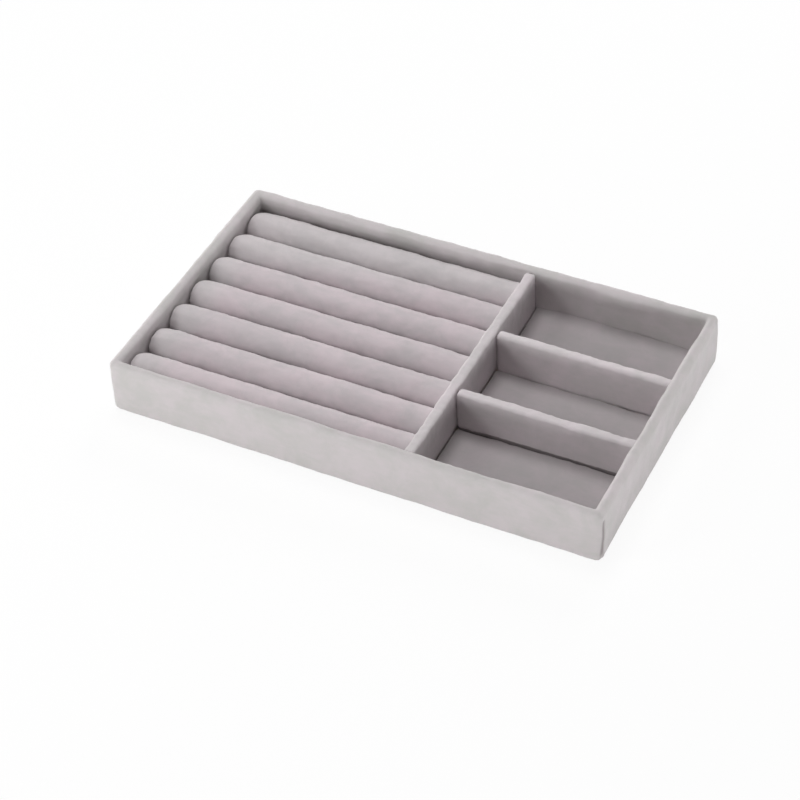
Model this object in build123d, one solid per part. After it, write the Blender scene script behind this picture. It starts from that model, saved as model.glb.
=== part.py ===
import os
from math import cos, pi, sin

from build123d import *

# A velvet-covered jewelry tray: a ring bay with a row of soft rolls on the left and three
# compartments on the right. Millimetres. X runs along the length to the right, Y from front
# to back, Z up. The origin is the middle of the underside, on the surface the tray stands on.

# Whole tray, over its cloth
tray_length = 210.0
tray_depth = 123.0
tray_height = 25.0
corner_round = 2.5  # upright outer corners
rim_round = 1.6  # inner and outer edge of the rim
foot_round = 2.2  # lower outer edge
inner_corner_round = 0.8  # upright corners inside the walls

# Sheets that the tray is made of
velvet = 0.6  # cloth with its pile and glue
wall_board = 3.0
base_board = 2.5
divider_board = 3.0
floor_card = 0.9
ring_card = 2.0
felt = 0.6  # where it lies over the turned-in cloth

# Wall cloth: one strip round the tray, over the rim and turned in under the base
turn_in = 12.0  # from the outer face to the cut edge under the base
seam_from_corner = 1.9  # where the ends of the strip meet, on the right side near the front
seam_gap = 0.3
seam_below_rim = 5.5

# Felt on the underside
felt_inset = 3.0  # from the outer face to the edge of the felt
felt_corner_round = 2.0
felt_step_gap = 0.3  # between the cut edge of the wall cloth and the thick part of the felt

# Layout inside the walls
ring_bay_length = 124.0
front_compartment_depth = 36.0
middle_compartment_depth = 33.2
long_divider_drop = 0.7  # top of the divider below the rim
short_divider_drop = 1.0
divider_gap = 0.3  # each end of a divider to what it faces
divider_top_round = 1.5
divider_corner_round = 1.8
floor_gap = 0.4  # round each covered floor card
floor_top_round = 0.4
floor_corner_round = 1.0
ring_card_gap = 0.5

# Ring rolls: foam in a velvet sleeve, flat where it is glued to the card
roll_count = 7
roll_gap = 0.1  # between neighbours at their widest
roll_height = 15.6
roll_flat = 6.6
roll_end_gap = 0.4  # each end to the wall or the divider
roll_end_round = 3.0  # length over which an end draws in
roll_end_drop = 2.4  # fall of the crest at the very end
roll_end_steps = 4
roll_seam_gap = 0.8  # between the cloth edges that meet under the roll

overrun = 1.0  # how far a cutting solid passes the face it opens
rim_limit_share = 0.45  # most of a wall or divider that one rounded edge may take

# Worked out from the sizes above
wall = wall_board + 2 * velvet
divider = divider_board + 2 * velvet
rim_edge = min(rim_round, rim_limit_share * wall)
divider_edge = min(divider_top_round, rim_limit_share * divider)
divider_corner = min(divider_corner_round, rim_limit_share * divider)
inner_length = tray_length - 2 * wall
inner_depth = tray_depth - 2 * wall
board_bottom = felt + velvet
base_top = board_bottom + base_board
floor_height = floor_card + velvet
roll_bottom = base_top + ring_card

left_face = -inner_length / 2
right_face = inner_length / 2
front_face = -inner_depth / 2
back_face = inner_depth / 2
divider_left = left_face + ring_bay_length
divider_right = divider_left + divider
compartment_length = right_face - divider_right
front_divider_y = front_face + front_compartment_depth + divider / 2
rear_divider_y = front_divider_y + divider + middle_compartment_depth

roll_pitch = inner_depth / roll_count
roll_width = roll_pitch - roll_gap


def block(length, depth, bottom, top, corner=0, rim=0, foot=0):
    """A box on the Z axis with rounded upright corners, top edges and bottom edges."""
    solid = Pos(0, 0, (bottom + top) / 2) * Box(length, depth, top - bottom)
    if corner:
        solid = fillet(solid.edges().filter_by(Axis.Z), corner)
    if rim:
        solid = fillet(solid.edges().group_by(Axis.Z)[-1], rim)
    if foot:
        solid = fillet(solid.edges().group_by(Axis.Z)[0], foot)
    return solid


def walled_tray(skin):
    """The walls and base as one form, the given thickness of cloth inside the finished one."""
    outer = block(
        tray_length - 2 * skin,
        tray_depth - 2 * skin,
        felt + skin,
        tray_height - skin,
        corner=corner_round - skin,
    )
    hollow = block(
        inner_length + 2 * skin,
        inner_depth + 2 * skin,
        base_top,
        tray_height + overrun,
        corner=0 if skin else inner_corner_round,
    )
    tray = outer - hollow
    tray = fillet(tray.edges().group_by(Axis.Z)[-1], rim_edge - skin)
    return fillet(tray.edges().group_by(Axis.Z)[0], foot_round - skin)


def make_walls():
    """Four wall boards, the base board between them, and the cloth strip over them all."""
    boards = walled_tray(velvet)
    board_length = tray_length - 2 * velvet
    board_depth = tray_depth - 2 * velvet
    hollow_length = board_length - 2 * wall_board
    hollow_depth = board_depth - 2 * wall_board
    long_wall = Box(board_length + overrun, wall_board, 2 * tray_height)
    short_wall = Box(wall_board, hollow_depth, 2 * tray_height)
    wall_y = (board_depth - wall_board) / 2
    wall_x = (board_length - wall_board) / 2
    pieces = {
        "front_wall_board": boards & (Pos(0, -wall_y, 0) * long_wall),
        "back_wall_board": boards & (Pos(0, wall_y, 0) * long_wall),
        "left_wall_board": boards & (Pos(-wall_x, 0, 0) * short_wall),
        "right_wall_board": boards & (Pos(wall_x, 0, 0) * short_wall),
        "base_board": boards & Box(hollow_length, hollow_depth, 2 * tray_height),
    }

    cloth = walled_tray(0) - boards
    cloth -= block(
        tray_length - 2 * turn_in,
        tray_depth - 2 * turn_in,
        felt - overrun,
        board_bottom + base_board / 2,
    )
    seam_top = tray_height - seam_below_rim
    seam = Pos(tray_length / 2, seam_from_corner - tray_depth / 2, seam_top / 2)
    cloth -= seam * Box(wall, seam_gap, seam_top)
    pieces["wall_velvet"] = cloth
    return pieces


def make_underside():
    """Felt pressed thin over the turned-in cloth and full inside its cut edge."""
    sheet = block(
        tray_length - 2 * felt_inset,
        tray_depth - 2 * felt_inset,
        0,
        felt,
        corner=felt_corner_round,
    )
    step_inset = turn_in + felt_step_gap
    middle = block(
        tray_length - 2 * step_inset,
        tray_depth - 2 * step_inset,
        felt / 2,
        board_bottom,
    )
    return sheet + middle


def covered_panel(length, depth, height, corner, rim, board_corner, board_rim):
    """A panel standing on the base board: its core, and the cloth over top, faces and ends."""
    cover = block(length, depth, base_top, base_top + height, corner, rim)
    core = block(
        length - 2 * velvet,
        depth - 2 * velvet,
        base_top,
        base_top + height - velvet,
        board_corner,
        board_rim,
    )
    return core, cover - core


def covered_divider(length, depth, drop):
    return covered_panel(
        length,
        depth,
        tray_height - drop - base_top,
        divider_corner,
        divider_edge,
        divider_corner - velvet,
        divider_edge - velvet,
    )


def make_dividers():
    """The long divider beside the ring bay and the two short ones across the compartments."""
    pieces = {}
    core, cover = covered_divider(divider, inner_depth - 2 * divider_gap, long_divider_drop)
    place = Pos((divider_left + divider_right) / 2, 0, 0)
    pieces["long_divider_board"] = place * core
    pieces["long_divider_velvet"] = place * cover

    short_length = compartment_length - 2 * divider_gap
    core, cover = covered_divider(short_length, divider, short_divider_drop)
    for name, y in (("front", front_divider_y), ("rear", rear_divider_y)):
        place = Pos((divider_right + right_face) / 2, y, 0)
        pieces[f"{name}_short_divider_board"] = place * core
        pieces[f"{name}_short_divider_velvet"] = place * cover
    return pieces


def make_floors():
    """A velvet-covered card on the bottom of each compartment."""
    spans = {
        "front": (front_face, front_divider_y - divider / 2),
        "middle": (front_divider_y + divider / 2, rear_divider_y - divider / 2),
        "rear": (rear_divider_y + divider / 2, back_face),
    }
    pieces = {}
    for name, (front, back) in spans.items():
        core, cover = covered_panel(
            compartment_length - 2 * floor_gap,
            back - front - 2 * floor_gap,
            floor_height,
            floor_corner_round,
            floor_top_round,
            floor_corner_round - velvet,
            0,
        )
        place = Pos((divider_right + right_face) / 2, (front + back) / 2, 0)
        pieces[f"{name}_floor_card"] = place * core
        pieces[f"{name}_floor_velvet"] = place * cover
    return pieces


def roll_face(x, share, skin):
    """Cross-section of a roll at x: a round top on sides that draw in to a flat foot."""
    radius = share * (roll_width / 2 - skin)
    half_flat = share * roll_flat / 2
    foot = roll_bottom + skin
    top = foot + share * (roll_height - 2 * skin)
    middle = top - radius
    slant = radius * sin(pi / 4)
    edges = [Line((-half_flat, foot), (half_flat, foot))]
    for side in (-1, 1):
        widest = (side * radius, middle)
        shoulder = (side * slant, middle + slant)
        edges.append(TangentArc(widest, (side * half_flat, foot), tangent=(0, -1)))
        edges.append(ThreePointArc(widest, shoulder, (0, top)))
    plane = Plane(origin=(x, 0, 0), x_dir=(0, 1, 0), z_dir=(1, 0, 0))
    return plane * make_face(edges)


def roll_solid(skin):
    """A roll along the ring bay whose ends draw in, the given thickness inside its sleeve."""
    start = left_face + roll_end_gap + skin
    stop = divider_left - roll_end_gap - skin
    deepest = roll_end_drop / roll_height
    faces = []
    for step in range(roll_end_steps):
        angle = pi / 2 * step / (roll_end_steps - 1)
        along = roll_end_round * (1 - cos(angle))
        share = 1 - deepest * (1 - sin(angle))
        faces.append((along, share))
    left = [roll_face(start + along, share, skin) for along, share in faces]
    right = [roll_face(stop - along, share, skin) for along, share in reversed(faces)]
    return loft(left + right, ruled=True)


def make_ring_bay():
    """The bare card on the bottom of the ring bay and the rolls glued to it."""
    bed = Pos((left_face + divider_left) / 2, 0, 0) * block(
        ring_bay_length - 2 * ring_card_gap,
        inner_depth - 2 * ring_card_gap,
        base_top,
        roll_bottom,
    )
    pieces = {"ring_bed_card": bed}
    foam = roll_solid(velvet)
    slot = Pos((left_face + divider_left) / 2, 0, roll_bottom)
    sleeve = roll_solid(0) - foam - slot * Box(ring_bay_length, roll_seam_gap, 2 * velvet)
    for index in range(roll_count):
        place = Pos(0, front_face + (index + 0.5) * roll_pitch, 0)
        pieces[f"ring_roll_foam_{index + 1}"] = place * foam
        pieces[f"ring_roll_velvet_{index + 1}"] = place * sleeve
    return pieces


os.makedirs("parts", exist_ok=True)
nodes = make_walls()
nodes["underside_felt"] = make_underside()
nodes |= make_dividers()
nodes |= make_floors()
nodes |= make_ring_bay()
for node, solid in nodes.items():
    export_step(solid, f"parts/{node}.step")
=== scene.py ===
import math

import bmesh
import bpy
from mathutils import Matrix, Vector, noise


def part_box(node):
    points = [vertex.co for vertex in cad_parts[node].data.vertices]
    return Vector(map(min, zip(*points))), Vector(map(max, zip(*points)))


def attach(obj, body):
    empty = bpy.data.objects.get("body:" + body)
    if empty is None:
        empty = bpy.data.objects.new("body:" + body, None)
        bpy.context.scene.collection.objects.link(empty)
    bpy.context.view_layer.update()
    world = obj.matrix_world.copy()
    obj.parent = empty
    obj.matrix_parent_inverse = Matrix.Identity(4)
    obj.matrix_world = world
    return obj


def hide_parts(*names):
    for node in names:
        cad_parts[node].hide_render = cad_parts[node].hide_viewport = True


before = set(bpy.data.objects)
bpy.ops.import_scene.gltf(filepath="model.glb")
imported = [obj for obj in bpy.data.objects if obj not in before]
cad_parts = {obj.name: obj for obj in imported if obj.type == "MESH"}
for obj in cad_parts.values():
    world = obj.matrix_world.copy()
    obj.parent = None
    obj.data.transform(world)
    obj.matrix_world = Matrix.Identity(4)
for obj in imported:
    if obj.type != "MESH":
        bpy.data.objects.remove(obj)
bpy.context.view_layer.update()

# Metres. X runs along the tray to the right, Y to the back, Z up from the table.
MM = 0.001
X, Y, Z = 0, 1, 2

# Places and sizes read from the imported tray
cloth_low, cloth_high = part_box("wall_velvet")
left_board_low, left_board_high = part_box("left_wall_board")
base_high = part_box("base_board")[1]
felt_low, felt_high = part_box("underside_felt")
CLOTH = left_board_low.x - cloth_low.x
WALL = left_board_high.x + CLOTH - cloth_low.x
BACK_WALL_FACE = cloth_high.y - WALL
REAR_FLOOR_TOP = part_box("rear_floor_velvet")[1].z
ROLLS_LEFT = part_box("ring_roll_velvet_1")[0].x
ROLL_COUNT = sum(name.startswith("ring_roll_foam_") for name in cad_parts)

# All cloth
CLOTH_SHELL = 0.85 * CLOTH  # modelled thickness, a little clear of the board behind
DEEPEST_WAVE = -0.45  # of a wave's full height, because the board behind stops the cloth
FOLD_ANGLE = math.radians(30)  # an edge that turns more than this is a fold
SAME_PLACE = 0.01 * MM
CLOSEST_CUTS = 0.05 * MM
ROUND_STEPS = 5

# Wall cloth
CORNER_ROUND = 2.5 * MM
CORNER_STEPS = 6
INNER_CORNER_ROUND = 0.8 * MM
RIM_ROUND = 1.9 * MM
RIM_WAVE_REACH = 3 * MM  # the finest waves end this far below the rim
FOOT_ROUND = 2.2 * MM
TURN_IN = 12.0 * MM
INSIDE_CALM = 0.6  # share of the longest waves that the inner side lacks
BAG_FADE = 8 * MM  # from a corner to where the cloth inside the back wall hangs fully loose
SWELL_REACH = 5 * MM  # from the back right corner to where its swelling ends
SWELL_X = 0.45 * MM
SWELL_Y = 0.2 * MM

# Seam on the right side, where the ends of the wall cloth's strip meet
SEAM_PLACE = cloth_low.y + 2.6 * MM
SEAM_TOP = cloth_high.z - 4.6 * MM
SEAM_LEAN = 1.0 * MM / SEAM_TOP  # towards the front at the foot
SEAM_CLOSING = 1.0 * MM  # the slit closes over this height at its top
# Ways behind the slit, and how far the cloth stands out there, in mm
SEAM_PROFILE = ((-0.5, 0.0), (-0.2, -0.45), (0.3, -0.45), (1.0, 0.1), (1.6, 0.15), (2.6, 0.0))

# Divider cloths
DIVIDER_END_ROUND = 2.4 * MM
TIGHT_END = 0  # of a divider that pushes against the wall cloth
TIGHT_END_ROUND = 0.25 * MM
END_PUSH = 0.7 * MM  # of a tight end past its solid, so that it meets the round of the rim
FOOT_STEP_TOP = 7.4 * MM  # where the front short divider's cloth steps in; painted shade lies below it
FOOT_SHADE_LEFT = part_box("front_short_divider_velvet")[0].x
FOOT_STEP_DEPTH = 0.3 * MM
FOOT_STEP_HALF_HEIGHT = 0.1 * MM  # half the height over which the cloth steps in

# Floor cloths
FLOOR_TO_WALL = 0.6 * MM  # a floor cloth closes its gap to the right wall
FLOOR_CORNER_ROUND = 1.0 * MM
FLOOR_EDGE_ROUND = 0.5 * MM

# Ring rolls
ROLL_SIDES = 56
ROLL_SLACK = 0.93  # share of the pitch that a roll fills
ROLL_END_ROUND = 1.3 * MM
ROLL_END_DROP = 1.7 * MM  # a roll narrows by this much at the left wall
ROLL_END_REACH = 7.0 * MM
SLEEVE_PUSH = 0.35 * MM  # of a sleeve's ends past its solid, so that it meets its neighbours

# Felt sheet underneath
FELT_CORNER_ROUND = 2.0 * MM
FELT_EDGE_ROUND = 0.2 * MM
FELT_CLEARANCE = 0.02 * MM  # between the felt and the turned-in cloth

# The photograph's camera
CAMERA_AZIMUTH = math.radians(28.02)
CAMERA_ELEVATION = math.radians(42.76)
CAMERA_ROLL = math.radians(-2.97)
CAMERA_DISTANCE = 942.8 * MM
CAMERA_TARGET = Vector((-2.43, -10.29, 0.0)) * MM
PICTURE_SIZE = 800
FOCAL_PIXELS = 2358.3
SENSOR = 36.0

# Studio, in metres and watts
WHITE = (1.0, 1.0, 1.0)
TABLE_WHITE = (0.95, 0.95, 0.95)
TABLE_TOP = felt_low.z - 0.01 * MM
TABLE_HALF = 3.0
BACKDROP_GLOW = 0.92  # share of plain white in the table top that the camera sees
HORIZON_STRENGTH = 7.9
HORIZON_NARROWING = 30  # the higher, the nearer to the horizon the world's light stays
# Each softbox: name, azimuth from the tray's right side, elevation, size, power, distance
SOFTBOXES = (
    ("top_lamp", 0, 90, 1.2, 6.2, 1.5),
    ("high_back_left_lamp", 135, 75, 0.5, 6.4, 1.5),
    ("back_lamp", 90, 35, 0.5, 8.0, 1.5),
    ("front_left_lamp", 225, 35, 0.3, 2.0, 0.9),
    ("low_front_left_lamp", 225, 10, 0.3, 1.73, 0.9),
    ("low_back_left_lamp", 135, 10, 0.5, 4.7, 1.5),
    ("low_right_lamp", 0, 4, 0.2, 3.6, 1.5),
    ("low_front_right_lamp", 315, 4, 0.2, 3.9, 1.5),
)


class Signal:
    """A number in a material. Arithmetic on it adds Math nodes."""

    def __init__(self, graph, socket):
        self.graph = graph
        self.socket = socket

    def math(self, operation, first, second):
        return self.graph.node("ShaderNodeMath", {"operation": operation}, {0: first, 1: second})

    def __add__(self, other):
        return self.math("ADD", self, other)

    def __sub__(self, other):
        return self.math("SUBTRACT", self, other)

    def __mul__(self, other):
        return self.math("MULTIPLY", self, other)

    def __pow__(self, other):
        return self.math("POWER", self, other)

    def __abs__(self):
        return self.graph.node("ShaderNodeMath", {"operation": "ABSOLUTE"}, {0: self})

    def __rsub__(self, other):
        return self.math("SUBTRACT", other, self)

    __radd__ = __add__
    __rmul__ = __mul__


class Graph:
    """The nodes of a material or of the world. Each one comes from node()."""

    def __init__(self, tree):
        self.tree = tree
        tree.nodes.clear()

    def feed(self, socket, value):
        if isinstance(value, Signal):
            self.tree.links.new(value.socket, socket)
        elif socket.type == "RGBA" and len(value) == 3:
            socket.default_value = (*value, 1.0)
        else:
            socket.default_value = value

    def node(self, kind, settings=None, values=None, output=0):
        made = self.tree.nodes.new(kind)
        for key, value in (settings or {}).items():
            setattr(made, key, value)
        for key, value in (values or {}).items():
            self.feed(made.inputs[key], value)
        return Signal(self, made.outputs[output]) if made.outputs else None

    def background_ray(self):
        """1 where the camera looks straight, in a mirror or through glass, otherwise 0."""
        camera = self.node("ShaderNodeLightPath", output="Is Camera Ray")
        mirror = self.node("ShaderNodeLightPath", output="Is Glossy Ray")
        glass = self.node("ShaderNodeLightPath", output="Is Transmission Ray")
        return camera + mirror + glass


class Finish(Graph):
    """A material with one Principled surface."""

    def __init__(self, name, roughness, specular):
        self.material = bpy.data.materials.new(name)
        self.material.use_nodes = True
        super().__init__(self.material.node_tree)
        self.surface = self.tree.nodes.new("ShaderNodeBsdfPrincipled")
        self.shader = Signal(self, self.surface.outputs["BSDF"])
        self.output = self.tree.nodes.new("ShaderNodeOutputMaterial")
        self.feed(self.output.inputs["Surface"], self.shader)
        self.set("Roughness", roughness)
        self.set("Specular IOR Level", specular)

    def set(self, socket, value):
        self.feed(self.surface.inputs[socket], value)

    def place(self):
        return self.node("ShaderNodeTexCoord", output="Object")

    def along(self, place, axes):
        """The parts of a place along each of the named axes."""
        return [
            self.node("ShaderNodeSeparateXYZ", None, {"Vector": place}, axis) for axis in axes
        ]

    def noise(self, place, size, detail=2.0, roughness=0.5, distortion=0.0):
        """Cloudy values from 0 to 1 with spots about as large as size."""
        values = {"Vector": place, "Scale": 1 / size, "Detail": detail}
        values |= {"Roughness": roughness, "Distortion": distortion}
        return self.node("ShaderNodeTexNoise", None, values, "Fac")

    def cells(self, place, size):
        """Values that rise from 0 in the middle of each cell."""
        values = {"Vector": place, "Scale": 1 / size}
        return self.node("ShaderNodeTexVoronoi", None, values, "Distance")

    def stretch(self, place, scale):
        return self.node("ShaderNodeMapping", None, {"Vector": place, "Scale": scale})

    def between(self, signal, low, high):
        """The signal clamped from low to high and spread over 0 to 1."""
        values = {"Value": signal, "From Min": low, "From Max": high}
        return self.node("ShaderNodeMapRange", {"interpolation_type": "SMOOTHSTEP"}, values)

    def mix(self, share, first, second):
        values = {0: share, 6: first, 7: second}
        return self.node("ShaderNodeMix", {"data_type": "RGBA"}, values, 2)

    def bump(self, height, distance, strength):
        values = {"Height": height, "Distance": distance, "Strength": strength}
        self.set("Normal", self.node("ShaderNodeBump", None, values))


def wall_dark_edges_and_shade(finish, place):
    """Where the wall cloth is darker: its cut edges and painted shade at the seam, and painted
    shade down behind the last roll.
    """
    x, y, z = finish.along(place, "XYZ")
    return cut_edges_and_slit_shade(finish, x, y, z) + painted_shade_behind_roll(finish, x, y, z)


def cut_edges_and_slit_shade(finish, x, y, z):
    """The share along the slit where the ends of the wall cloth meet: their dark cut edges, with
    painted shade in the slit.
    """
    away = abs(y - SEAM_PLACE + SEAM_LEAN * (SEAM_TOP - z))
    slit = 1 - finish.between(away, 0.4 * MM, 1.2 * MM)
    below_top = 1 - finish.between(z, SEAM_TOP, SEAM_TOP + 0.8 * MM)
    above_foot = finish.between(z, 1.5 * MM, 5.0 * MM)
    outside = finish.between(x, cloth_high.x - 1.6 * MM, cloth_high.x - 1.2 * MM)
    return 0.75 * slit * below_top * above_foot * outside


def painted_shade_behind_roll(finish, x, y, z):
    """Painted shade: the share on the inside of the back wall, most at its left half, down behind
    the roll.
    """
    inside = 1 - finish.between(abs(y - BACK_WALL_FACE), 1.2 * MM, 2.0 * MM)
    left_half = 1 - finish.between(x, ROLLS_LEFT + 65 * MM, ROLLS_LEFT + 110 * MM)
    past_left_wall = finish.between(x, ROLLS_LEFT - 3 * MM, ROLLS_LEFT - 2 * MM)
    deep = finish.between(z, 3 * MM, 5 * MM) - finish.between(z, 16.4 * MM, 19.2 * MM)
    return 0.7 * inside * left_half * past_left_wall * deep


def painted_foot_shade(finish, place):
    """Painted shade at the foot of a divider's cloth: the share under a ragged line, which is
    lower at its left.
    """
    x, z = finish.along(place, "XZ")
    at_left = 1 - finish.between(x, FOOT_SHADE_LEFT + 3 * MM, FOOT_SHADE_LEFT + 22 * MM)
    tooth = (finish.noise(place, 2.0 * MM) - 0.5) * 1.6 * MM
    ragged = z + tooth + at_left * 1.1 * MM
    most = 0.82
    return most - most * finish.between(
        ragged, FOOT_STEP_TOP - 0.45 * MM, FOOT_STEP_TOP + 0.35 * MM
    )


def less_pink_near_walls(finish, place):
    """1 where the rolls are coloured less pink: at their left ends and near the back wall."""
    x, y = finish.along(place, "XY")
    from_end = x - ROLLS_LEFT
    at_end = 1 - finish.between(from_end, 6 * MM, 18 * MM)
    at_back = finish.between(y - 0.19 * from_end, 16 * MM, 27 * MM)
    return 1 - (1 - at_end) * (1 - at_back)


def velvet(name, worn, full, where=None, other=None):
    """Short-pile cloth: brushed patches, fine strokes and single tufts. The function where gives
    the share of the other pair of tones."""
    finish = Finish(name, roughness=0.9, specular=0.2)
    finish.set("Sheen Weight", 0.6)
    finish.set("Sheen Roughness", 0.3)
    finish.set("Sheen Tint", (1.0, 0.98, 0.99, 1.0))
    place = finish.place()
    patches = finish.noise(place, 16 * MM, detail=4.0, roughness=0.68, distortion=0.4)
    strokes = finish.noise(finish.stretch(place, (0.35, 1.0, 1.0)), 2.2 * MM)
    tufts = finish.noise(place, 0.32 * MM, roughness=0.7)
    share = finish.between(patches * 0.7 + strokes * 0.2 + tufts * 0.1, 0.33, 0.67)
    colour = finish.mix(share, worn, full)
    if where:
        colour = finish.mix(where(finish, place), colour, finish.mix(share, *other))
    finish.set("Base Color", colour)
    finish.set("Roughness", 0.82 + 0.14 * patches)
    finish.bump(tufts * 0.6 + strokes * 0.4, distance=0.12 * MM, strength=0.5)
    return finish.material


def felt(name, dark, light):
    """Pressed fibres without a pile."""
    finish = Finish(name, roughness=0.95, specular=0.15)
    finish.set("Sheen Weight", 0.1)
    place = finish.place()
    clouds = finish.noise(place, 9 * MM, detail=4.0, roughness=0.6)
    drawn = finish.stretch(place, (1.0, 0.3, 1.0))
    hairs = finish.noise(drawn, 0.5 * MM, detail=3.0, roughness=0.7, distortion=1.5)
    share = finish.between(clouds * 0.45 + hairs * 0.55, 0.35, 0.65)
    finish.set("Base Color", finish.mix(share, dark, light))
    finish.bump(hairs, distance=0.15 * MM, strength=0.6)
    return finish.material


def pressed_board(name, dark, light, chip):
    """Board or card of pressed fibres, with chips of the given size."""
    finish = Finish(name, roughness=0.8, specular=0.3)
    place = finish.place()
    chips = finish.noise(place, chip, detail=4.0, roughness=0.65, distortion=0.6)
    clouds = finish.noise(place, 20 * MM)
    share = finish.between(chips * 0.75 + clouds * 0.25, 0.35, 0.65)
    finish.set("Base Color", finish.mix(share, dark, light))
    finish.set("Roughness", 0.7 + 0.2 * chips)
    finish.bump(chips, distance=0.1 * MM, strength=0.4)
    return finish.material


def foam(name, dark, light):
    """Open-celled foam."""
    finish = Finish(name, roughness=0.95, specular=0.2)
    cells = finish.cells(finish.place(), 0.9 * MM)
    share = finish.between(cells, 0.15, 0.6)
    finish.set("Base Color", finish.mix(share, dark, light))
    finish.bump(cells, distance=0.2 * MM, strength=0.7)
    return finish.material


# Pairs of tones: where the pile is worn and where it is full
# Dark tone for the seam's cut edges and for painted shade: in the seam's slit, behind the last
# roll and at the front short divider's foot
CUT_EDGE_AND_SHADE_TONES = ((0.22, 0.19, 0.195), (0.22, 0.19, 0.195))
WALL_TONES = ((0.513, 0.5, 0.489), (0.588, 0.544, 0.557))
ROLL_TONES = ((0.525, 0.484, 0.498), (0.616, 0.537, 0.564))
GREYER_ROLL_TONES = ((0.53, 0.5, 0.508), (0.61, 0.565, 0.577))
LONG_DIVIDER_TONES = ((0.567, 0.538, 0.542), (0.646, 0.586, 0.609))
# Front short divider: the divider velvet a little lighter, partly its own tone and partly painted
# light
FRONT_DIVIDER_TONES = ((0.578, 0.549, 0.553), (0.659, 0.598, 0.621))
# Rear short divider: the divider velvet lighter still, painted light that stands in for its
# lesser shade
REAR_DIVIDER_TONES = ((0.614, 0.582, 0.586), (0.699, 0.634, 0.658))
# Floor tones: partly the floor cloth's own tone, partly painted shade for the deep compartments
FLOOR_TONES = ((0.416, 0.392, 0.395), (0.468, 0.423, 0.438))

WALL_VELVET = velvet("wall_velvet_cloth", *WALL_TONES, wall_dark_edges_and_shade, CUT_EDGE_AND_SHADE_TONES)
ROLL_VELVET = velvet("roll_velvet_cloth", *ROLL_TONES, less_pink_near_walls, GREYER_ROLL_TONES)
LONG_DIVIDER_VELVET = velvet("divider_velvet_cloth", *LONG_DIVIDER_TONES)
REAR_DIVIDER_VELVET = velvet("rear_divider_painted_light_cloth", *REAR_DIVIDER_TONES)
FRONT_DIVIDER_VELVET = velvet("short_divider_cloth", *FRONT_DIVIDER_TONES, painted_foot_shade, CUT_EDGE_AND_SHADE_TONES)
FLOOR_VELVET = velvet("floor_velvet_cloth", *FLOOR_TONES)
FELT = felt("underside_felt_cloth", (0.27, 0.26, 0.26), (0.38, 0.37, 0.365))
BOARD = pressed_board("fibreboard", (0.32, 0.22, 0.13), (0.48, 0.36, 0.24), 0.8 * MM)
CARD = pressed_board("grey_card", (0.28, 0.27, 0.255), (0.37, 0.36, 0.34), 0.5 * MM)
FOAM = foam("roll_foam", (0.55, 0.54, 0.49), (0.78, 0.77, 0.71))


def box_mesh(low, high):
    bm = bmesh.new()
    size = high - low
    place = Matrix.Translation((low + high) / 2) @ Matrix.Diagonal((*size, 1.0))
    bmesh.ops.create_cube(bm, size=1.0, matrix=place)
    return bm


def open_below(bm):
    """Takes away the lowest face, where a cloth lies on a board."""
    lowest = min(bm.faces, key=lambda f: f.calc_center_median().z)
    bmesh.ops.delete(bm, geom=[lowest], context="FACES")


def near(value, wanted):
    return abs(value - wanted) < SAME_PLACE


def level(edge, axis, place):
    """Whether both ends of an edge lie at a place on an axis."""
    return all(near(v.co[axis], place) for v in edge.verts)


def upright(edge):
    first, second = (v.co for v in edge.verts)
    return near(first.x, second.x) and near(first.y, second.y)


def folds(bm, height=None):
    """The edges where the mesh is folded: all of them, or those at one height."""
    bm.normal_update()
    folded = [e for e in bm.edges if e.calc_face_angle(0.0) > FOLD_ANGLE]
    return folded if height is None else [e for e in folded if level(e, Z, height)]


def round_edges(bm, edges, radius, segments):
    bmesh.ops.bevel(
        bm,
        geom=edges,
        offset=radius,
        offset_type="OFFSET",
        segments=segments,
        profile=0.5,
        affect="EDGES",
        material=-1,
    )


def cut_plane(bm, point, normal, faces):
    """Cuts some faces of the mesh by a plane."""
    # Kept in order, so that each run gives the same mesh
    edges = dict.fromkeys(e for f in faces for e in f.edges)
    verts = dict.fromkeys(v for f in faces for v in f.verts)
    geom = [*verts, *edges, *faces]
    bmesh.ops.bisect_plane(bm, geom=geom, dist=1e-7, plane_co=point, plane_no=normal)


def cut(bm, axis, at):
    """Cuts the whole mesh by a plane across an axis."""
    normal = Vector((0, 0, 0))
    normal[axis] = 1
    cut_plane(bm, normal * at, normal, bm.faces[:])


def cut_evenly(bm, axis, step):
    """Even cuts across an axis, so that the cloth between its roundings can wave."""
    levels = []
    for place in sorted(v.co[axis] for v in bm.verts):
        if not levels or place - levels[-1] > CLOSEST_CUTS:
            levels.append(place)
    for low, high in zip(levels, levels[1:]):
        count = round((high - low) / step)
        for index in range(1, count):
            cut(bm, axis, low + (high - low) * index / count)


def ripple(bm, amount, size, seed, weight=None):
    """Moves the surface in and out by soft waves about as long as size, less far inwards."""
    bm.normal_update()
    shift = Vector((seed * 3.1, seed * 1.7, seed * 2.3))
    for v in bm.verts:
        share = weight(v) if weight else 1.0
        v.co += v.normal * (amount * share * max(noise.noise(v.co / size + shift), DEEPEST_WAVE))


def piece(bm, name, nodes, material, shell=0.0):
    """Makes the object of a finished mesh, which stands for the named nodes."""
    bmesh.ops.recalc_face_normals(bm, faces=bm.faces[:])
    for face in bm.faces:
        face.smooth = True
    mesh = bpy.data.meshes.new(name)
    bm.to_mesh(mesh)
    bm.free()
    mesh.materials.append(material)
    made = bpy.data.objects.new(name, mesh)
    bpy.context.scene.collection.objects.link(made)
    if shell:
        solidify = made.modifiers.new("cloth_thickness", "SOLIDIFY")
        solidify.thickness = shell
        solidify.offset = -1.0
    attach(made, "root")
    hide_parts(*nodes)
    return made


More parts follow.
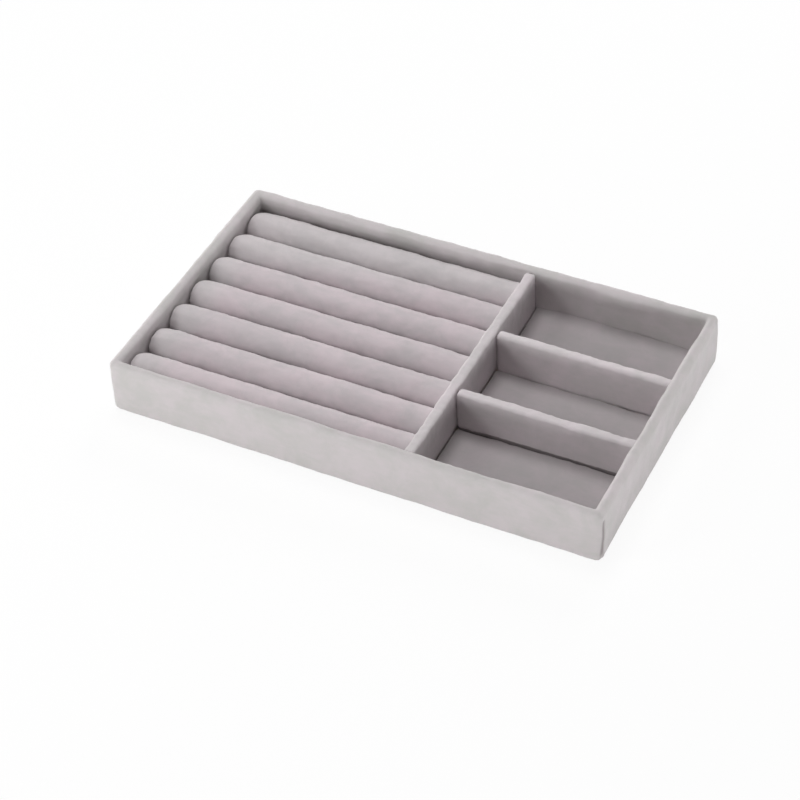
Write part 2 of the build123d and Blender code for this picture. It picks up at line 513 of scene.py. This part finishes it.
def rounded_loop(bm, inset, height, radius):
    """Edges of a rectangle that lies a way inside the tray's outline, with rounded corners."""
    earlier = set(bm.edges)
    spread = Matrix.Diagonal((cloth_high.x - inset, cloth_high.y - inset, 1.0, 1.0))
    place = Matrix.Translation((0, 0, height)) @ spread
    made = bmesh.ops.create_grid(bm, x_segments=1, y_segments=1, size=1.0, matrix=place)
    bmesh.ops.bevel(
        bm,
        geom=made["verts"],
        offset=radius,
        offset_type="OFFSET",
        segments=CORNER_STEPS,
        profile=0.5,
        affect="VERTICES",
        material=-1,
    )
    loop = [e for e in bm.edges if e not in earlier]
    bmesh.ops.delete(bm, geom=loop[0].link_faces[:], context="FACES_ONLY")
    return loop


def make_wall_cloth():
    """One strip over the walls: turned in below, up outside, over the rim and down inside."""
    bm = bmesh.new()
    turned_in = rounded_loop(bm, TURN_IN, cloth_low.z, INNER_CORNER_ROUND)
    foot = rounded_loop(bm, 0, cloth_low.z, CORNER_ROUND)
    rim = rounded_loop(bm, 0, cloth_high.z, CORNER_ROUND)
    inner_rim = rounded_loop(bm, WALL, cloth_high.z, INNER_CORNER_ROUND)
    inner_foot = rounded_loop(bm, WALL, base_high.z, INNER_CORNER_ROUND)
    # The level bands come first, because a band across two upright ones gets twisted
    for first, second in (
        (rim, inner_rim),
        (turned_in, foot),
        (foot, rim),
        (inner_rim, inner_foot),
    ):
        bmesh.ops.bridge_loops(bm, edges=[*first, *second])
    bmesh.ops.recalc_face_normals(bm, faces=bm.faces[:])
    round_edges(bm, folds(bm, cloth_high.z), RIM_ROUND, ROUND_STEPS)
    round_edges(bm, folds(bm, cloth_low.z), FOOT_ROUND, ROUND_STEPS)
    cut_evenly(bm, X, 1.1 * MM)
    cut_evenly(bm, Y, 1.1 * MM)
    cut_evenly(bm, Z, 2.0 * MM)
    make_seam(bm)

    def looser_outside(v):
        past_x = abs(v.co.x) - (cloth_high.x - WALL)
        past_y = abs(v.co.y) - (cloth_high.y - WALL)
        return 1.0 - INSIDE_CALM * min(1.0, max(0.0, max(past_x, past_y) / WALL))

    def near_rim(v):
        return max(0.0, 1 - (cloth_high.z - v.co.z) / RIM_WAVE_REACH)

    ripple(bm, amount=0.55 * MM, size=24 * MM, seed=1, weight=looser_outside)
    ripple(bm, amount=0.25 * MM, size=7 * MM, seed=2)
    ripple(bm, amount=0.2 * MM, size=2.2 * MM, seed=3, weight=near_rim)
    slacken_back(bm)
    swell_corner(bm)
    made = piece(bm, "wall_cloth", ["wall_velvet"], WALL_VELVET, CLOTH_SHELL)


def make_seam(bm):
    """Where the ends of the strip meet: a slit that leans a little, between turned edges."""
    outer_side = cloth_high.x - WALL / 2
    for way, _ in SEAM_PROFILE:
        outside = [f for f in bm.faces if f.calc_center_median().x > outer_side]
        across = Vector((0, SEAM_PLACE + way * MM, SEAM_TOP))
        cut_plane(bm, across, Vector((0, 1, -SEAM_LEAN)), outside)
    for v in bm.verts:
        if v.co.x < outer_side:
            continue
        behind = (v.co.y - SEAM_PLACE + SEAM_LEAN * (SEAM_TOP - v.co.z)) / MM
        fade = min(1.0, max(0.0, (SEAM_TOP + SEAM_CLOSING - v.co.z) / SEAM_CLOSING))
        for (start, first), (stop, last) in zip(SEAM_PROFILE, SEAM_PROFILE[1:]):
            if start < behind <= stop:
                share = (behind - start) / (stop - start)
                v.co.x += fade * MM * (first + (last - first) * share)


def slacken_back(bm):
    """The cloth inside the back wall hangs loose: it bags below the rim and at its foot."""
    for v in bm.verts:
        if not BACK_WALL_FACE - 0.9 * MM < v.co.y < BACK_WALL_FACE + WALL / 2:
            continue
        loose = min(1.0, max(0.0, (cloth_high.x - WALL - abs(v.co.x)) / BAG_FADE))
        up = (v.co.z - REAR_FLOOR_TOP) / (cloth_high.z - REAR_FLOOR_TOP)
        foot = max(0.0, 1 - abs(up) / 0.35)
        below_rim = max(0.0, 1 - abs(up - 0.8) / 0.22)
        wave = noise.noise(Vector((v.co.x / (12 * MM), 0.5, 7.3)))
        slow = noise.noise(Vector((v.co.x / (21 * MM), 4.5, 1.3)))
        quick = noise.noise(Vector((v.co.x / (7 * MM), 9.5, v.co.z / (9 * MM))))
        v.co.y -= MM * loose * foot * max(0.0, 0.5 + 1.5 * wave)
        v.co.y -= MM * loose * below_rim * max(0.0, 0.35 + 1.1 * slow + 0.7 * quick)


def swell_corner(bm):
    """The folded cloth stands out at the back right corner, most at half height."""
    for v in bm.verts:
        inside = max(cloth_high.x - v.co.x, cloth_high.y - v.co.y)
        up = min(1.0, max(0.0, v.co.z / cloth_high.z))
        share = max(0.0, 1 - inside / SWELL_REACH) * math.sin(math.pi * up)
        v.co.x += SWELL_X * share
        v.co.y += SWELL_Y * share


def make_divider(name, along, rounding, end_rounds, seed, cloth, step_top=0.0):
    """Cloth folded over a divider board and its ends, open where the divider stands."""
    node = f"{name}_velvet"
    low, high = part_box(node)
    across = Y if along == X else X
    if end_rounds[0] == TIGHT_END:
        low[along] -= END_PUSH
    if end_rounds[1] == TIGHT_END:
        high[along] += END_PUSH
    bm = box_mesh(low, high)
    tight_places = []
    for place, radius in zip((low[along], high[along]), end_rounds):
        if radius == TIGHT_END:
            tight_places.append(place)
            continue
        top_of_end = [e for e in bm.edges if level(e, Z, high.z) and level(e, along, place)]
        round_edges(bm, top_of_end, radius, ROUND_STEPS)
    open_below(bm)

    def at_tight_end(edge):
        return any(level(edge, along, place) for place in tight_places)

    round_edges(bm, [e for e in folds(bm) if not at_tight_end(e)], rounding, ROUND_STEPS)
    round_edges(bm, [e for e in folds(bm) if at_tight_end(e)], TIGHT_END_ROUND, 2)
    cut_evenly(bm, along, 0.8 * MM)
    cut_evenly(bm, Z, 2.0 * MM)
    middle = (low[across] + high[across]) / 2
    cut(bm, across, middle)
    if step_top:
        cut(bm, Z, step_top - FOOT_STEP_HALF_HEIGHT)
        cut(bm, Z, step_top + FOOT_STEP_HALF_HEIGHT)

    def looser_on_top(v):
        return 0.35 + 0.65 * max(0.0, (v.co.z - low.z) / (high.z - low.z)) ** 2

    ripple(bm, amount=0.2 * MM, size=16 * MM, seed=seed, weight=looser_on_top)
    ripple(bm, amount=0.3 * MM, size=5.5 * MM, seed=seed + 1, weight=looser_on_top)
    ripple(bm, amount=0.25 * MM, size=1.9 * MM, seed=seed + 2, weight=looser_on_top)
    for v in bm.verts:
        if v.co.z < step_top:
            v.co[across] -= math.copysign(FOOT_STEP_DEPTH, v.co[across] - middle)
    made = piece(bm, f"{name}_cloth", [node], cloth, CLOTH_SHELL)


def make_floor(name, seed, rear_gap, rear_lift):
    """Cloth over a floor card, drawn down round its edges. Its rear edge lies off true: how far
    forward and how high, in mm, is given at its left end, its middle and its right end."""
    node = f"{name}_floor_velvet"
    low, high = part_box(node)
    high.x += FLOOR_TO_WALL
    size = high - low
    bm = box_mesh(low, high)
    open_below(bm)
    round_edges(bm, [e for e in bm.edges if upright(e)], FLOOR_CORNER_ROUND, 3)
    round_edges(bm, folds(bm, high.z), FLOOR_EDGE_ROUND, ROUND_STEPS)
    cut_evenly(bm, X, 1.5 * MM)
    cut_evenly(bm, Y, 1.2 * MM)

    def near_back(v):
        return max(0.0, (v.co.y - low.y) / size.y) ** 6

    ripple(bm, amount=0.3 * MM, size=14 * MM, seed=seed)
    ripple(bm, amount=0.3 * MM, size=4 * MM, seed=seed + 3, weight=near_back)
    for v in bm.verts:
        to_back = (v.co.y - low.y) / size.y
        to_right = (v.co.x - low.x) / size.x
        v.co.y -= MM * along_edge(rear_gap, to_right) * to_back**6
        v.co.z += MM * along_edge(rear_lift, to_right) * to_back**6
    made = piece(bm, f"{name}_floor_cloth", [node], FLOOR_VELVET, CLOTH_SHELL)


def along_edge(values, share):
    """A smooth course through a value at the left end, one in the middle and one at the right."""
    left, middle, right = values
    share = min(1.0, max(0.0, share))
    bend = 4 * share * (1 - share)
    return left + (right - left) * share + (middle - (left + right) / 2) * bend


def roll_mesh(node, seed, waves, longer=0.0):
    """A long foam form, pressed flat below, drawn in at its left end and full at the other."""
    low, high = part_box(node)
    low.x -= longer
    high.x += longer
    radius = (high.y - low.y) / 2 * ROLL_SLACK
    middle = Vector(((low.x + high.x) / 2, (low.y + high.y) / 2, high.z - radius))
    place = Matrix.Translation(middle) @ Matrix.Rotation(math.pi / 2, 4, "Y")
    bm = bmesh.new()
    bmesh.ops.create_cone(
        bm,
        cap_ends=True,
        cap_tris=False,
        segments=ROLL_SIDES,
        radius1=radius,
        radius2=radius,
        depth=high.x - low.x,
        matrix=place,
    )
    round_edges(bm, folds(bm), ROLL_END_ROUND, 4)
    cut_evenly(bm, X, 1.1 * MM)
    for v in bm.verts:
        drop = ROLL_END_DROP * max(0.0, 1 - (v.co.x - low.x) / ROLL_END_REACH) ** 2
        v.co.y = middle.y + (v.co.y - middle.y) * (1 - drop / radius)
        v.co.z = middle.z + (v.co.z - middle.z) * (1 - drop / radius)
    ripple(bm, amount=0.3 * MM * waves, size=18 * MM, seed=seed)
    ripple(bm, amount=0.25 * MM * waves, size=6 * MM, seed=seed + 5)
    ripple(bm, amount=0.22 * MM * waves, size=2.2 * MM, seed=seed + 8)
    for v in bm.verts:
        v.co.z = max(v.co.z, low.z)
        v.co.y = min(max(v.co.y, low.y), high.y)
        v.co.x = min(max(v.co.x, low.x), high.x)
    return bm


def make_roll(index):
    """A velvet sleeve and the foam inside it."""
    sleeve_node = f"ring_roll_velvet_{index}"
    sleeve_name = f"ring_roll_sleeve_{index}"
    bm = roll_mesh(sleeve_node, 10 * index, waves=1.0, longer=SLEEVE_PUSH)
    sleeve = piece(bm, sleeve_name, [sleeve_node], ROLL_VELVET, CLOTH_SHELL)
    foam_node = f"ring_roll_foam_{index}"
    bm = roll_mesh(foam_node, 10 * index, waves=0.9)
    core = piece(bm, f"ring_roll_core_{index}", [foam_node], FOAM)


def make_underside():
    """A felt sheet over the turned-in edge of the wall cloth."""
    bm = box_mesh(felt_low, felt_high)
    round_edges(bm, [e for e in bm.edges if upright(e)], FELT_CORNER_ROUND, 4)
    round_edges(bm, folds(bm, felt_low.z), FELT_EDGE_ROUND, 2)
    cut_evenly(bm, X, 6 * MM)
    cut_evenly(bm, Y, 6 * MM)
    for v in bm.verts:
        if near(v.co.z, felt_high.z):
            v.co.z = cloth_low.z - FELT_CLEARANCE
    made = piece(bm, "underside_felt_sheet", ["underside_felt"], FELT)


def dress_hidden_nodes():
    """Boards and cards keep their solids and get their own materials."""
    for name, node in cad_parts.items():
        for ending, material in (("_board", BOARD), ("_card", CARD)):
            if name.endswith(ending):
                node.data.materials.clear()
                node.data.materials.append(material)


def make_camera():
    level_way = math.cos(CAMERA_ELEVATION)
    back = Vector(
        (
            math.sin(CAMERA_AZIMUTH) * level_way,
            -math.cos(CAMERA_AZIMUTH) * level_way,
            math.sin(CAMERA_ELEVATION),
        )
    )
    sideways = Vector((math.cos(CAMERA_AZIMUTH), math.sin(CAMERA_AZIMUTH), 0.0))
    rise = back.cross(sideways)
    right = math.cos(CAMERA_ROLL) * sideways + math.sin(CAMERA_ROLL) * rise
    up = math.cos(CAMERA_ROLL) * rise - math.sin(CAMERA_ROLL) * sideways
    place = Matrix((right, up, back)).transposed().to_4x4()
    place.translation = CAMERA_TARGET + back * CAMERA_DISTANCE
    data = bpy.data.cameras.new("camera")
    data.sensor_width = SENSOR
    data.lens = FOCAL_PIXELS / PICTURE_SIZE * SENSOR
    camera = bpy.data.objects.new("camera", data)
    camera.matrix_world = place
    bpy.context.scene.collection.objects.link(camera)
    bpy.context.scene.camera = camera


def make_softbox(name, azimuth, elevation, size, power, distance):
    """A square lamp that faces the middle of the tray."""
    data = bpy.data.lights.new(name, "AREA")
    data.shape = "SQUARE"
    data.size = size
    data.energy = power
    around = math.radians(azimuth)
    rise = math.radians(elevation)
    reach = math.cos(rise)
    way = Vector((math.cos(around) * reach, math.sin(around) * reach, math.sin(rise)))
    lamp = bpy.data.objects.new(name, data)
    lamp.location = way * distance
    lamp.rotation_euler = way.to_track_quat("Z", "Y").to_euler()
    bpy.context.scene.collection.objects.link(lamp)


def make_studio_floor():
    """A white table top that keeps the tray's shadow."""
    bm = bmesh.new()
    place = Matrix.Translation((0, 0, TABLE_TOP))
    bmesh.ops.create_grid(bm, x_segments=1, y_segments=1, size=TABLE_HALF, matrix=place)
    mesh = bpy.data.meshes.new("studio_floor")
    bm.to_mesh(mesh)
    bm.free()
    finish = Finish("studio_white", roughness=1.0, specular=0.0)
    finish.set("Base Color", TABLE_WHITE)
    glow = finish.node("ShaderNodeEmission", None, {"Color": WHITE, "Strength": 1.0})
    share = BACKDROP_GLOW * finish.background_ray()
    shown = finish.node("ShaderNodeMixShader", None, {0: share, 1: finish.shader, 2: glow})
    finish.feed(finish.output.inputs["Surface"], shown)
    mesh.materials.append(finish.material)
    floor = bpy.data.objects.new("studio_floor", mesh)
    bpy.context.scene.collection.objects.link(floor)


def make_studio_light():
    """Light that is strongest near the horizon, white where the camera looks past the tray."""
    world = bpy.data.worlds.new("studio_light")
    world.use_nodes = True
    graph = Graph(world.node_tree)
    way = graph.node("ShaderNodeTexCoord", output="Generated")
    rise = graph.node("ShaderNodeSeparateXYZ", None, {"Vector": way}, "Z")
    low = 1 - abs(rise)
    strength = HORIZON_STRENGTH * low**HORIZON_NARROWING
    light = graph.node("ShaderNodeBackground", None, {"Color": WHITE, "Strength": strength})
    backdrop = graph.node("ShaderNodeBackground", None, {"Color": WHITE, "Strength": 1.0})
    values = {0: graph.background_ray(), 1: light, 2: backdrop}
    shown = graph.node("ShaderNodeMixShader", None, values)
    graph.node("ShaderNodeOutputWorld", None, {"Surface": shown})
    bpy.context.scene.world = world
    for softbox in SOFTBOXES:
        make_softbox(*softbox)
    bpy.context.scene.view_settings.view_transform = "Standard"


make_wall_cloth()
to_front_wall = (TIGHT_END, DIVIDER_END_ROUND)
to_right_wall = (DIVIDER_END_ROUND, TIGHT_END)
make_divider("long_divider", Y, 1.2 * MM, to_front_wall, 20, LONG_DIVIDER_VELVET)
make_divider(
    "front_short_divider", X, 1.3 * MM, to_right_wall, 30, FRONT_DIVIDER_VELVET, FOOT_STEP_TOP
)
make_divider("rear_short_divider", X, 1.7 * MM, to_right_wall, 40, REAR_DIVIDER_VELVET)
make_floor("front", 50, rear_gap=(-0.3, -0.2, -0.2), rear_lift=(0.2, 1.2, 1.0))
make_floor("middle", 51, rear_gap=(-0.6, -0.2, 0.4), rear_lift=(0.0, 0.4, 0.2))
make_floor("rear", 52, rear_gap=(-0.3, -0.3, -0.2), rear_lift=(2.2, 2.2, 1.5))
for number in range(1, ROLL_COUNT + 1):
    make_roll(number)
make_underside()
dress_hidden_nodes()
make_camera()
make_studio_floor()
make_studio_light()

bpy.context.view_layer.update()
